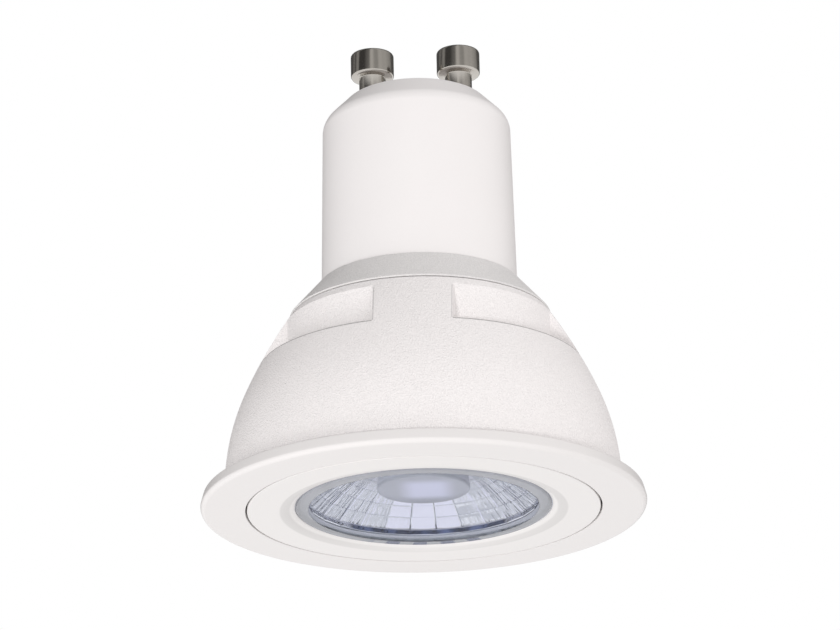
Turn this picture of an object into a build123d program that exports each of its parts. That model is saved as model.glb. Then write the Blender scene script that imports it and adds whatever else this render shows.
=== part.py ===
from build123d import *
import math
import os

# Reflector lamp with a two-pin twist-lock base. Millimetres; it stands on its front face,
# with Z running from that face up to the pins, and the pins lie along X.

# Front flange
flange_r = 25.0
flange_t = 1.65
flange_back_r = 24.7
flange_edge_round = 0.9
seam_r = 20.0
seam_gap = 0.2
sleeve_z = 3.7

# Bell
bell_foot_r = 22.3
bell_straight_z = 2.5
bell_waist_r = 20.05
bell_waist_z = 13.2
bell_top_r = 15.0
bell_top_z = 22.6
bell_wall = 1.3
groove = 0.15
groove_depth = 0.5
ledge_z = 16.5
recess_floor_r = 15.65
bridge_w = 8.8
collar_bore_r = 12.6

# Neck collar and base
neck_r = 11.45
base_foot_z = 26.7
base_foot_r = 11.17
base_top_r = 10.84
base_chamfer_h = 2.9
base_flat_r = 8.0
base_top_z = 49.3
base_shoulder_round = 0.8
base_edge_round = 0.3
base_bore_r = 9.0
base_roof_t = 2.0
spigot_r = 10.3
spigot_z = 20.0
snap_lip = 0.5
snap_h = 0.7

# Contact pins
pin_spacing = 10.0
pin_head_r = 2.5
pin_head_h = 3.0
pin_reach = 6.4
pin_neck_r = 1.55
pin_edge_round = 0.35
rivet_r = 2.1
rivet_h = 0.8
pin_tail_r = 1.0
pin_tail_h = 1.2

# Bezel and cover lens
bezel_wall = 0.95
bezel_plate_t = 0.95
bezel_wall_z = 4.6
bezel_slope_r = 16.3
bezel_slope_h = 0.5
hook_reach = 0.7
hook_width = 6.0
hook_count = 3
lens_r = 14.35
lens_front_z = 0.3
lens_t = 0.8
lens_bevel = 0.4
lens_flange = 1.05
lens_flange_t = 0.4
gasket_w = 1.4
gasket_t = 0.2

# Faceted reflector
reflector_rim_r = 13.1
reflector_neck_r = 5.3
reflector_lip = 0.6
reflector_depth = 4.8
reflector_rows = 6
reflector_facets = 27
reflector_turn = 6.7
reflector_wall = 0.8
reflector_flange_t = 0.7

# Light source
primary_lens_z = 2.6
primary_lens_r = 5.25
primary_lens_foot_r = 4.6
primary_lens_round = 0.5
emitter_r = 4.5
emitter_t = 0.4
led_board_side = 12.0
led_board_t = 1.0
led_board_corner = 0.5
thermal_pad_t = 0.2
holder_r = 9.8
holder_screw_y = 7.8
screw_head_r = 1.6
screw_head_h = 0.8
screw_cross_l = 1.9
screw_cross_w = 0.4
screw_r = 1.0
screw_len = 3.4

# Heat sink
sink_r = 18.9
sink_plate_t = 2.5
sink_skirt = 3.2
sink_skirt_wall = 1.0
fin_count = 12
fin_t = 1.0
fin_h = 2.5
fin_inner_r = 10.6
fin_outer_r = 17.2
shelf_w = 1.2

# Driver
cup_wall = 1.0
board_w = 16.0
board_t = 1.0
board_top_gap = 1.9
rib_t = 1.0
rib_reach = 2.0
wire_r = 0.35
output_wire_x = 7.4
output_wire_z = 17.0
output_wire_end_x = 5.5
input_wire_drop = 2.8
wire_bend = 0.5
capacitor_r = 3.5
capacitor_h = 12.0
capacitor_x = -2.5
capacitor_z = 15.5
capacitor_lead_x = 0.9
capacitor_crimp = 0.3
capacitor_crimp_z = 1.5
core_w = 9.0
core_d = 6.8
core_h = 9.0
core_z = 29.5
core_leg = 1.8
core_post_r = 1.2
film_w = 3.6
film_d = 4.6
film_h = 8.0
film_x = 4.0
film_z = 17.0
film_corner = 0.45
rectifier_side = 4.7
rectifier_t = 2.4
rectifier_edge = 0.3
rectifier_z = 36.0
chip_w = 3.9
chip_h = 5.0
chip_t = 1.5
chip_edge = 0.2
chip_z = 27.5
chip_lead_reach = 1.0
chip_lead_w = 0.45
chip_lead_t = 0.3
chip_lead_pitch = 1.2
rectifier_lead_pitch = 2.5
rectifier_x = -3.0
resistor_r = 1.3
resistor_h = 6.5
resistor_x = 4.6
resistor_z = 26.0
component_lead_r = 0.3
component_lead_drop = 1.2

clearance = 0.1
thread_clearance = 0.05

# Sizes that follow from those above
bezel_r = seam_r - seam_gap
trim_bore_r = seam_r
bell_bore_r = bell_foot_r - bell_wall
sleeve_r = bell_bore_r - clearance
lens_back_z = lens_front_z + lens_t
lens_flange_r = lens_r + lens_flange
gasket_back_z = lens_back_z + gasket_t
rim_z = gasket_back_z + reflector_lip
flange_back_z = gasket_back_z + reflector_flange_t
neck_z = rim_z + reflector_depth
emitter_front_z = neck_z + screw_head_h - emitter_t
led_front_z = emitter_front_z + emitter_t
led_back_z = led_front_z + led_board_t
sink_front_z = led_back_z + thermal_pad_t
sink_back_z = sink_front_z + sink_plate_t
pilot_r = lens_flange_r + clearance
base_chamfer_z = base_top_z - base_chamfer_h
pin_top_z = base_top_z + pin_reach
roof_z = base_top_z - base_roof_t
pin_tail_z = roof_z - rivet_h - pin_tail_h
cup_r = base_bore_r + cup_wall
cup_floor_z = sink_back_z + cup_wall
board_bottom_z = cup_floor_z
board_top_z = pin_tail_z - board_top_gap
input_wire_z = board_top_z - input_wire_drop
board_face = board_t / 2
wire_y = board_face + wire_r

os.makedirs("parts", exist_ok=True)


def parabola_z(r):
    """Height of the reflector's bowl at radius r."""
    return rim_z + reflector_depth * (reflector_rim_r**2 - r**2) / (reflector_rim_r**2 - reflector_neck_r**2)


# Trim ring: the flat flange with a rounded rim and a sleeve that plugs into the bell
with BuildPart() as trim_ring:
    with BuildSketch(Plane.XZ):
        with BuildLine():
            face = Line((trim_bore_r, 0), (flange_r - flange_edge_round, 0))
            rim = TangentArc(face @ 1, (flange_r, flange_edge_round), tangent=(1, 0))
            Polyline(
                rim @ 1,
                (flange_back_r, flange_t),
                (sleeve_r, flange_t),
                (sleeve_r, sleeve_z),
                (trim_bore_r, sleeve_z),
                face @ 0,
            )
        make_face()
    revolve(axis=Axis.Z)
trim_ring.part.label = "trim_ring"
export_step(trim_ring.part, "parts/trim_ring.step")

# Bell: a turned outline of two tangent arcs, hollow inside, with four recesses at its top
with BuildPart() as bell_housing:
    with BuildSketch(Plane.XZ):
        with BuildLine():
            foot = Line((bell_foot_r, flange_t + groove), (bell_foot_r, bell_straight_z))
            lower = TangentArc(foot @ 1, (bell_waist_r, bell_waist_z), tangent=(0, 1))
            upper = TangentArc(lower @ 1, (bell_top_r, bell_top_z), tangent=lower % 1)
            Polyline(
                upper @ 1,
                (collar_bore_r, bell_top_z),
                (collar_bore_r, spigot_z - snap_h),
                (recess_floor_r - bell_wall, spigot_z - snap_h - bell_wall),
                (recess_floor_r - bell_wall, ledge_z - bell_wall),
                (sink_r - shelf_w, ledge_z - 2 * bell_wall),
                (sink_r - shelf_w, sink_back_z),
                (sink_r + clearance, sink_back_z),
                (sink_r + clearance, sink_front_z),
                (bell_bore_r, sleeve_z + bell_wall),
                (bell_bore_r, flange_t),
                (bell_foot_r - groove_depth, flange_t),
                (bell_foot_r - groove_depth, flange_t + groove),
                foot @ 0,
            )
        make_face()
    revolve(axis=Axis.Z)
    with BuildSketch(Plane.XY.offset(ledge_z)):
        Circle(bell_foot_r)
        Circle(recess_floor_r, mode=Mode.SUBTRACT)
        Rectangle(2 * bell_foot_r, bridge_w, mode=Mode.SUBTRACT)
        Rectangle(bridge_w, 2 * bell_foot_r, mode=Mode.SUBTRACT)
    extrude(amount=bell_top_z - ledge_z, mode=Mode.SUBTRACT)
bell_housing.part.label = "bell_housing"
export_step(bell_housing.part, "parts/bell_housing.step")

# Neck collar: the conical shoulder, with a spigot down into the bell
with BuildPart() as neck_collar:
    with BuildSketch(Plane.XZ):
        with BuildLine():
            Polyline(
                (spigot_r + clearance, spigot_z + clearance),
                (collar_bore_r - clearance, spigot_z + clearance),
                (collar_bore_r - clearance, bell_top_z),
                (bell_top_r - groove_depth, bell_top_z),
                (bell_top_r - groove_depth, bell_top_z + groove),
                (bell_top_r, bell_top_z + groove),
                (bell_top_r, bell_top_z + 2 * groove),
                (neck_r, base_foot_z),
                (spigot_r + clearance, base_foot_z),
                close=True,
            )
        make_face()
    revolve(axis=Axis.Z)
neck_collar.part.label = "neck_collar"
export_step(neck_collar.part, "parts/neck_collar.step")

# Base housing: a drafted cup with a chamfered roof, a snap spigot and guides for the board
with BuildPart() as base_housing:
    with BuildSketch(Plane.XZ):
        with BuildLine():
            Polyline(
                (0, base_top_z),
                (base_flat_r, base_top_z),
                (base_top_r, base_chamfer_z),
                (base_foot_r, base_foot_z),
                (spigot_r, base_foot_z),
                (spigot_r, spigot_z),
                (spigot_r + snap_lip, spigot_z),
                (spigot_r, spigot_z - snap_h),
                (base_bore_r, spigot_z - snap_h),
                (base_bore_r, roof_z - base_roof_t / 2),
                (base_bore_r - base_roof_t / 2, roof_z),
                (0, roof_z),
                close=True,
            )
        make_face()
    revolve(axis=Axis.Z)
    circles = base_housing.edges().filter_by(GeomType.CIRCLE)
    fillet(circles.filter_by(lambda e: abs(e.radius - base_top_r) < 0.01), base_shoulder_round)
    circles = base_housing.edges().filter_by(GeomType.CIRCLE)
    fillet(circles.sort_by(Axis.Z)[-1], base_edge_round)
    with Locations((-pin_spacing / 2, 0, base_top_z), (pin_spacing / 2, 0, base_top_z)):
        Hole(pin_neck_r, depth=base_roof_t)
    with BuildSketch(Plane.XY.offset(spigot_z)):
        Circle(base_bore_r + clearance)
        Rectangle(2 * (base_bore_r - rib_reach), 2 * base_bore_r, mode=Mode.SUBTRACT)
        Rectangle(2 * cup_r, board_t + 2 * clearance, mode=Mode.SUBTRACT)
        with Locations((0, base_bore_r), (0, -base_bore_r)):
            Rectangle(2 * cup_r, 2 * (base_bore_r - board_face - rib_t), mode=Mode.SUBTRACT)
    extrude(amount=board_top_z - spigot_z)
base_housing.part.label = "base_housing"
export_step(base_housing.part, "parts/base_housing.step")

# Contact pins: turned, with a mushroom head, riveted under the roof of the base
for side, name in ((-1, "contact_pin_left"), (1, "contact_pin_right")):
    with BuildPart() as contact_pin:
        with BuildSketch(Plane.XZ.shift_origin((side * pin_spacing / 2, 0, 0))):
            with BuildLine():
                Polyline(
                    (0, pin_top_z),
                    (pin_head_r, pin_top_z),
                    (pin_head_r, pin_top_z - pin_head_h),
                    (pin_neck_r, pin_top_z - pin_head_h),
                    (pin_neck_r, roof_z),
                    (rivet_r, roof_z),
                    (rivet_r, roof_z - rivet_h),
                    (pin_tail_r, roof_z - rivet_h),
                    (pin_tail_r, pin_tail_z),
                    (0, pin_tail_z),
                    close=True,
                )
            make_face()
        revolve(axis=Axis((side * pin_spacing / 2, 0, 0), (0, 0, 1)))
        circles = contact_pin.edges().filter_by(GeomType.CIRCLE)
        fillet(circles.filter_by(lambda e: e.radius > rivet_r), pin_edge_round)
    contact_pin.part.label = name
    export_step(contact_pin.part, "parts/" + name + ".step")

# Bezel ring: a sloped opening for the lens, a pilot wall round the optics and snap hooks
with BuildPart() as bezel_ring:
    with BuildSketch(Plane.XZ):
        with BuildLine():
            Polyline(
                (bezel_slope_r, 0),
                (bezel_r, 0),
                (bezel_r, bezel_wall_z),
                (bezel_r - bezel_wall, bezel_wall_z),
                (bezel_r - bezel_wall, bezel_plate_t),
                (pilot_r + bezel_wall, bezel_plate_t),
                (pilot_r + bezel_wall, flange_back_z),
                (pilot_r, flange_back_z),
                (pilot_r, lens_back_z - lens_flange_t),
                (lens_r + clearance, lens_back_z - lens_flange_t),
                (lens_r + clearance, bezel_slope_h),
                close=True,
            )
        make_face()
    revolve(axis=Axis.Z)
    for hook in range(hook_count):
        hook_plane = Plane.XZ.rotated((0, 0, 360 / hook_count * hook + 90))
        with BuildSketch(hook_plane):
            with BuildLine():
                Polyline(
                    (bezel_r - bezel_wall / 2, sleeve_z + clearance),
                    (bezel_r + hook_reach, sleeve_z + clearance),
                    (bezel_r, bezel_wall_z),
                    (bezel_r - bezel_wall / 2, bezel_wall_z),
                    close=True,
                )
            make_face()
        extrude(amount=hook_width / 2, both=True)
bezel_ring.part.label = "bezel_ring"
export_step(bezel_ring.part, "parts/bezel_ring.step")

# Cover lens: a clear disc with a bevelled front edge and a flange behind the bezel
with BuildPart() as cover_lens:
    with BuildSketch(Plane.XZ):
        with BuildLine():
            Polyline(
                (0, lens_front_z),
                (lens_r - lens_bevel, lens_front_z),
                (lens_r, lens_front_z + lens_bevel),
                (lens_r, lens_back_z - lens_flange_t),
                (lens_flange_r, lens_back_z - lens_flange_t),
                (lens_flange_r, lens_back_z),
                (0, lens_back_z),
                close=True,
            )
        make_face()
    revolve(axis=Axis.Z)
cover_lens.part.label = "cover_lens"
export_step(cover_lens.part, "parts/cover_lens.step")

# Gasket: a flat ring between the lens and the reflector's flange
with BuildPart() as lens_gasket:
    with BuildSketch(Plane.XY.offset(lens_back_z)):
        Circle(lens_flange_r - clearance)
        Circle(lens_flange_r - clearance - gasket_w, mode=Mode.SUBTRACT)
    extrude(amount=gasket_t)
lens_gasket.part.label = "lens_gasket"
export_step(lens_gasket.part, "parts/lens_gasket.step")

# Reflector: a thin bowl with a flange, whose inside has an upright lip of facets at the rim and
# then rows of flat facets on a parabola
row_step = (reflector_rim_r - reflector_neck_r) / reflector_rows
row_radii = [reflector_rim_r - row * row_step for row in range(reflector_rows + 1)]
with BuildPart() as reflector:
    with BuildSketch(Plane.XZ):
        with BuildLine():
            Polyline(
                (0, gasket_back_z),
                (pilot_r - clearance, gasket_back_z),
                (pilot_r - clearance, flange_back_z),
                (row_radii[0] + reflector_wall, flange_back_z),
                *[(r + reflector_wall, parabola_z(r)) for r in row_radii[1:]],
                (0, neck_z),
                close=True,
            )
        make_face()
    revolve(axis=Axis.Z)
    with BuildSketch(Plane.XY.offset(gasket_back_z)):
        RegularPolygon(reflector_rim_r, reflector_facets, rotation=reflector_turn)
    extrude(amount=reflector_lip, mode=Mode.SUBTRACT)
    for outer, inner in zip(row_radii[:-1], row_radii[1:]):
        for r in (outer, inner):
            with BuildSketch(Plane.XY.offset(parabola_z(r))):
                RegularPolygon(r, reflector_facets, rotation=reflector_turn)
        loft(ruled=True, mode=Mode.SUBTRACT)
reflector.part.label = "reflector"
export_step(reflector.part, "parts/reflector.step")


def bent_lead(points, radius, bend):
    """A round lead or wire along straight runs with rounded bends."""
    with BuildPart() as lead:
        with BuildLine() as route:
            FilletPolyline(*points, radius=bend)
        with BuildSketch(Plane(origin=points[0], z_dir=route.line % 0)):
            Circle(radius)
        sweep()
    return lead.part


# Primary lens: a solid block that widens from the emitter to a flat end in the middle of the bowl
with BuildPart() as primary_lens:
    with BuildSketch(Plane.XZ):
        with BuildLine():
            Polyline(
                (0, primary_lens_z),
                (primary_lens_r, primary_lens_z),
                (primary_lens_r, primary_lens_z + primary_lens_round),
                (primary_lens_foot_r, emitter_front_z),
                (0, emitter_front_z),
                close=True,
            )
        make_face()
    revolve(axis=Axis.Z)
    fillet(primary_lens.edges().group_by(Axis.Z)[0], primary_lens_round / 2)
primary_lens.part.label = "primary_lens"
export_step(primary_lens.part, "parts/primary_lens.step")

# Emitter: the round phosphor patch, with a softened edge
with BuildPart() as led_emitter:
    with BuildSketch(Plane.XY.offset(emitter_front_z)):
        Circle(emitter_r)
    extrude(amount=emitter_t)
    chamfer(led_emitter.edges().group_by(Axis.Z)[0], emitter_t / 2)
led_emitter.part.label = "led_emitter"
export_step(led_emitter.part, "parts/led_emitter.step")

# LED board: the square substrate behind the emitter
with BuildPart() as led_board:
    with BuildSketch(Plane.XY.offset(led_front_z)):
        RectangleRounded(led_board_side, led_board_side, led_board_corner)
    extrude(amount=led_board_t)
led_board.part.label = "led_board"
export_step(led_board.part, "parts/led_board.step")

# Thermal pad between the board and the heat sink
with BuildPart() as thermal_pad:
    with BuildSketch(Plane.XY.offset(led_back_z)):
        Rectangle(led_board_side, led_board_side)
    extrude(amount=thermal_pad_t)
thermal_pad.part.label = "thermal_pad"
export_step(thermal_pad.part, "parts/thermal_pad.step")

# Holder: a ring that clamps the LED board, with a flared window, wire slots and two screw holes
with BuildPart() as led_holder:
    with BuildSketch(Plane.XY.offset(neck_z)):
        Circle(holder_r)
    extrude(amount=sink_front_z - neck_z)
    with BuildSketch(Plane.XZ):
        with BuildLine():
            Polyline(
                (0, neck_z),
                (reflector_neck_r, neck_z),
                (emitter_r + clearance, led_front_z),
                (0, led_front_z),
                close=True,
            )
        make_face()
    revolve(axis=Axis.Z, mode=Mode.SUBTRACT)
    with BuildSketch(Plane.XY.offset(led_front_z)):
        Rectangle(led_board_side + 2 * clearance, led_board_side + 2 * clearance)
    extrude(amount=sink_front_z - led_front_z, mode=Mode.SUBTRACT)
    with BuildSketch(Plane.XY.offset(neck_z)):
        with Locations((0, -wire_y)):
            Rectangle(2 * (output_wire_x + wire_r + clearance), 2 * (wire_r + clearance))
        Circle(emitter_r, mode=Mode.SUBTRACT)
    extrude(amount=sink_front_z - neck_z, mode=Mode.SUBTRACT)
    for side in (-1, 1):
        with Locations(Plane(origin=(0, side * holder_screw_y, neck_z), z_dir=(0, 0, -1))):
            CounterBoreHole(screw_r + clearance, screw_head_r + clearance, screw_head_h)
led_holder.part.label = "led_holder"
export_step(led_holder.part, "parts/led_holder.step")

# Holder screws: two small screws with flat heads and crossed recesses
with BuildPart() as holder_screws:
    for side in (-1, 1):
        with BuildSketch(Plane.XY.offset(neck_z)):
            with Locations((0, side * holder_screw_y)):
                Circle(screw_head_r)
        extrude(amount=screw_head_h)
        with BuildSketch(Plane.XY.offset(neck_z + screw_head_h)):
            with Locations((0, side * holder_screw_y)):
                Circle(screw_r)
        extrude(amount=screw_len)
        with BuildSketch(Plane.XY.offset(neck_z)):
            with Locations((0, side * holder_screw_y)):
                Rectangle(screw_cross_l, screw_cross_w)
                Rectangle(screw_cross_w, screw_cross_l)
        extrude(amount=screw_head_h / 2, mode=Mode.SUBTRACT)
holder_screws.part.label = "holder_screws"
export_step(holder_screws.part, "parts/holder_screws.step")

# Heat sink: a plate pressed against the bell's shelf, with a skirt below and radial fins above
with BuildPart() as heat_sink:
    with BuildSketch(Plane.XY.offset(sink_front_z)):
        Circle(sink_r)
    extrude(amount=sink_plate_t)
    with BuildSketch(Plane.XY.offset(sink_front_z - sink_skirt)):
        Circle(sink_r)
        Circle(sink_r - sink_skirt_wall, mode=Mode.SUBTRACT)
    extrude(amount=sink_skirt)
    with BuildSketch(Plane.XY.offset(sink_back_z)):
        with PolarLocations((fin_inner_r + fin_outer_r) / 2, fin_count):
            Rectangle(fin_outer_r - fin_inner_r, fin_t)
    extrude(amount=fin_h)
    with BuildSketch(Plane.XY.offset(sink_front_z)):
        with Locations((-output_wire_x, -wire_y), (output_wire_x, -wire_y)):
            Circle(wire_r + clearance)
        with Locations((0, -holder_screw_y), (0, holder_screw_y)):
            Circle(screw_r + thread_clearance)
    extrude(amount=sink_plate_t, mode=Mode.SUBTRACT)
heat_sink.part.label = "heat_sink"
export_step(heat_sink.part, "parts/heat_sink.step")

# Insulating cup: lines the bell between the heat sink and the base, round the driver's foot
with BuildPart() as insulating_cup:
    with BuildSketch(Plane.XY.offset(sink_back_z)):
        Circle(cup_r)
    extrude(amount=spigot_z - snap_h - sink_back_z)
    with BuildSketch(Plane.XY.offset(cup_floor_z)):
        Circle(base_bore_r)
    extrude(amount=spigot_z - snap_h - cup_floor_z, mode=Mode.SUBTRACT)
    with BuildSketch(Plane.XY.offset(sink_back_z)):
        with Locations((-output_wire_x, -wire_y), (output_wire_x, -wire_y)):
            Circle(wire_r + clearance)
    extrude(amount=cup_wall, mode=Mode.SUBTRACT)
insulating_cup.part.label = "insulating_cup"
export_step(insulating_cup.part, "parts/insulating_cup.step")

# Driver board: upright in the middle of the base, on the cup's floor
with BuildPart() as driver_board:
    with BuildSketch(Plane.XY.offset(board_bottom_z)):
        Rectangle(board_w, board_t)
    extrude(amount=board_top_z - board_bottom_z)
driver_board.part.label = "driver_board"
export_step(driver_board.part, "parts/driver_board.step")

# Electrolytic capacitor: a can with a crimped foot, laid along the board on two bent leads
capacitor_y = -board_face - capacitor_r
capacitor_leads = [
    bent_lead(
        [
            (capacitor_x + side * capacitor_lead_x, capacitor_y, capacitor_z),
            (capacitor_x + side * capacitor_lead_x, capacitor_y, capacitor_z - component_lead_drop),
            (capacitor_x + side * capacitor_lead_x, -board_face, capacitor_z - component_lead_drop),
        ],
        component_lead_r,
        component_lead_drop / 2,
    )
    for side in (-1, 1)
]
with BuildPart() as electrolytic_capacitor:
    with BuildSketch(Plane(origin=(capacitor_x, capacitor_y, 0), x_dir=(1, 0, 0), z_dir=(0, -1, 0))):
        with BuildLine():
            Polyline(
                (0, capacitor_z),
                (capacitor_r - capacitor_crimp, capacitor_z),
                (capacitor_r, capacitor_z + capacitor_crimp),
                (capacitor_r, capacitor_z + capacitor_crimp_z - capacitor_crimp),
                (capacitor_r - capacitor_crimp, capacitor_z + capacitor_crimp_z),
                (capacitor_r, capacitor_z + capacitor_crimp_z + capacitor_crimp),
                (capacitor_r, capacitor_z + capacitor_h - capacitor_crimp),
                (capacitor_r - capacitor_crimp, capacitor_z + capacitor_h),
                (0, capacitor_z + capacitor_h),
                close=True,
            )
        make_face()
    revolve(axis=Axis((capacitor_x, capacitor_y, 0), (0, 0, 1)))
    add(capacitor_leads)
electrolytic_capacitor.part.label = "electrolytic_capacitor"
export_step(electrolytic_capacitor.part, "parts/electrolytic_capacitor.step")

# Film capacitor: a moulded block with rounded corners
with BuildPart() as film_capacitor:
    with BuildSketch(Plane.XY.offset(film_z)):
        with Locations((film_x, -board_face - film_d / 2)):
            RectangleRounded(film_w, film_d, film_corner)
    extrude(amount=film_h)
film_capacitor.part.label = "film_capacitor"
export_step(film_capacitor.part, "parts/film_capacitor.step")

# Transformer: a ferrite frame with a round centre post, and the winding on that post
core_y = -board_face - core_d / 2
window_h = core_h - 2 * core_leg
with BuildPart() as transformer_core:
    with BuildSketch(Plane.XY.offset(core_z)):
        with Locations((0, core_y)):
            Rectangle(core_w, core_d)
    extrude(amount=core_h)
    with BuildSketch(Plane.XY.offset(core_z + core_leg)):
        with Locations((0, core_y)):
            Rectangle(core_w - 2 * core_leg, core_d)
            Circle(core_post_r, mode=Mode.SUBTRACT)
    extrude(amount=window_h, mode=Mode.SUBTRACT)
transformer_core.part.label = "transformer_core"
export_step(transformer_core.part, "parts/transformer_core.step")

with BuildPart() as transformer_winding:
    with BuildSketch(Plane.XY.offset(core_z + core_leg + clearance)):
        with Locations((0, core_y)):
            Circle(core_w / 2 - core_leg - clearance)
            Circle(core_post_r + clearance, mode=Mode.SUBTRACT)
    extrude(amount=window_h - 2 * clearance)
transformer_winding.part.label = "transformer_winding"
export_step(transformer_winding.part, "parts/transformer_winding.step")

# Bridge rectifier and driver chip: moulded bodies with flat leads, on the back of the board
with BuildPart() as bridge_rectifier:
    with Locations((rectifier_x, board_face, rectifier_z)):
        Box(rectifier_side, rectifier_t, rectifier_side, align=(Align.CENTER, Align.MIN, Align.MIN))
    chamfer(bridge_rectifier.faces().sort_by(Axis.Y)[-1].edges(), rectifier_edge)
    for side in (-1, 1):
        rectifier_lead_z = rectifier_z + (rectifier_side + side * rectifier_lead_pitch) / 2
        with Locations((rectifier_x, board_face, rectifier_lead_z)):
            Box(
                rectifier_side + 2 * chip_lead_reach,
                chip_lead_t,
                chip_lead_w,
                align=(Align.CENTER, Align.MIN, Align.CENTER),
            )
bridge_rectifier.part.label = "bridge_rectifier"
export_step(bridge_rectifier.part, "parts/bridge_rectifier.step")

with BuildPart() as driver_chip:
    with Locations((0, board_face, chip_z)):
        Box(chip_w, chip_t, chip_h, align=(Align.CENTER, Align.MIN, Align.MIN))
    chamfer(driver_chip.faces().sort_by(Axis.Y)[-1].edges(), chip_edge)
    for lead in range(4):
        with Locations((0, board_face, chip_z + chip_h / 2 + (lead - 1.5) * chip_lead_pitch)):
            Box(
                chip_w + 2 * chip_lead_reach,
                chip_lead_t,
                chip_lead_w,
                align=(Align.CENTER, Align.MIN, Align.CENTER),
            )
driver_chip.part.label = "driver_chip"
export_step(driver_chip.part, "parts/driver_chip.step")

# Fusible resistor: a barrel on two leads bent to the board
resistor_y = board_face + resistor_r
resistor_leads = [
    bent_lead(
        [
            (resistor_x, resistor_y, end),
            (resistor_x, resistor_y, end + way * component_lead_drop),
            (resistor_x, board_face, end + way * component_lead_drop),
        ],
        component_lead_r,
        component_lead_drop / 2,
    )
    for end, way in ((resistor_z, -1), (resistor_z + resistor_h, 1))
]
with BuildPart() as fusible_resistor:
    with BuildSketch(Plane.XY.offset(resistor_z)):
        with Locations((resistor_x, resistor_y)):
            Circle(resistor_r)
    extrude(amount=resistor_h)
    fillet(fusible_resistor.edges().filter_by(GeomType.CIRCLE), resistor_r / 3)
    add(resistor_leads)
fusible_resistor.part.label = "fusible_resistor"
export_step(fusible_resistor.part, "parts/fusible_resistor.step")

# Wires: from the pins' tails to the board, and from the board to the LED board
for side, name in ((-1, "left"), (1, "right")):
    input_wire = bent_lead(
        [
            (side * pin_spacing / 2, 0, pin_tail_z),
            (side * pin_spacing / 2, 0, pin_tail_z - board_top_gap / 3),
            (side * pin_spacing / 2, -wire_y, board_top_z + wire_r),
            (side * pin_spacing / 2, -wire_y, input_wire_z),
        ],
        wire_r,
        wire_bend,
    )
    input_wire.label = "input_wire_" + name
    export_step(input_wire, "parts/input_wire_" + name + ".step")

    output_wire = bent_lead(
        [
            (side * output_wire_x, -wire_y, output_wire_z),
            (side * output_wire_x, -wire_y, led_front_z - wire_r),
            (side * output_wire_end_x, -wire_y, led_front_z - wire_r),
        ],
        wire_r,
        wire_bend,
    )
    output_wire.label = "output_wire_" + name
    export_step(output_wire, "parts/output_wire_" + name + ".step")
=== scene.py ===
"""Looks of a two-pin reflector lamp: its visible pieces, finishes, studio and camera."""

import math

import bmesh
import bpy
from bpy.props import FloatProperty, FloatVectorProperty, IntProperty, PointerProperty
from bpy.types import Operator, Panel, PropertyGroup
from mathutils import Matrix, Vector


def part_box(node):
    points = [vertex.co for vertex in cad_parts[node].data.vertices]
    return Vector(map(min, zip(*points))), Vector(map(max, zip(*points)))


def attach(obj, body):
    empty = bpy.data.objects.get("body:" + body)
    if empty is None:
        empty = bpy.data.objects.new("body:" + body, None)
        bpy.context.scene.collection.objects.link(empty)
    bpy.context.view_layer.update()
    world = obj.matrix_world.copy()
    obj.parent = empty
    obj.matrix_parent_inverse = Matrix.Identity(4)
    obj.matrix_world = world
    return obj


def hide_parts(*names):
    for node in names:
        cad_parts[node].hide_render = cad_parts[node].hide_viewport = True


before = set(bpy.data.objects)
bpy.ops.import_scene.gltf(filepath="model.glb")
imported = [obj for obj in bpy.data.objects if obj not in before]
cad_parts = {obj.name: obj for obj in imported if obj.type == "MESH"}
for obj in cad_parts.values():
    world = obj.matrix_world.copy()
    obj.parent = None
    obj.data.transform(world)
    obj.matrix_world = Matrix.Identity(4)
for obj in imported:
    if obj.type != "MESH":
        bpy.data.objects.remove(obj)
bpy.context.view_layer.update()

bl_info = {
    "name": "Reflector lamp",
    "version": (1, 0, 0),
    "blender": (4, 5, 0),
    "location": "View3D > Sidebar > Lamp",
    "description": "Models a two-pin reflector lamp piece by piece, with its finishes and studio",
    "category": "Object",
}

MM = 0.001
BODY = "root"
ROUND_STEPS = 192
ARC_STEPS = 8
BELL_ARC_STEPS = 18
MERGE = 0.002 * MM
SMOOTH_ANGLE = math.radians(32)
SHARP_ANGLE = math.radians(40)
QUARTER_TURN = math.pi / 2
WHITE = (1.0, 1.0, 1.0, 1.0)
# Greys of the walls that the pins mirror, once round the room, each at its share of a turn.
WALL_GREYS = (
    (0.17, 0.1), (0.19, 0.35), (0.205, 0.12), (0.235, 0.12), (0.26, 0.32), (0.29, 0.32), (0.305, 0.06),
    (0.395, 0.06), (0.42, 0.14), (0.465, 0.2), (0.485, 0.6), (0.515, 0.6), (0.54, 0.4), (0.585, 0.36),
    (0.61, 0.55), (0.65, 0.55), (0.67, 0.5), (0.72, 0.52), (0.78, 0.4), (0.83, 0.3), (0.85, 0.1),
)
WALL_WARMTH = (1.0, 0.985, 0.96)


def reach(node):
    """How far a CAD node reaches from the lamp's axis."""
    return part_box(node)[1].x


def top(node):
    """The height of a CAD node's highest point."""
    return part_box(node)[1].z


def foot(node):
    """The height of a CAD node's lowest point."""
    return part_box(node)[0].z


def length(name, default, description):
    """A size property in metres."""
    return FloatProperty(name=name, description=description, default=default, unit="LENGTH", precision=5)


def colour(name, default, description):
    """A colour property in linear red, green and blue."""
    return FloatVectorProperty(
        name=name, description=description, default=default, subtype="COLOR", size=3, min=0.0, max=1.0
    )


def position(name, default, description):
    """A property that holds a place, in metres."""
    return FloatVectorProperty(
        name=name, description=description, default=default, subtype="TRANSLATION", size=3, precision=5
    )


def angle(name, default, description):
    """A property that holds an angle."""
    return FloatProperty(name=name, description=description, default=default, subtype="ANGLE", precision=5)


def power(name, default, description):
    """A property that holds a lamp's power."""
    return FloatProperty(name=name, description=description, default=default, unit="POWER")


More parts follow.
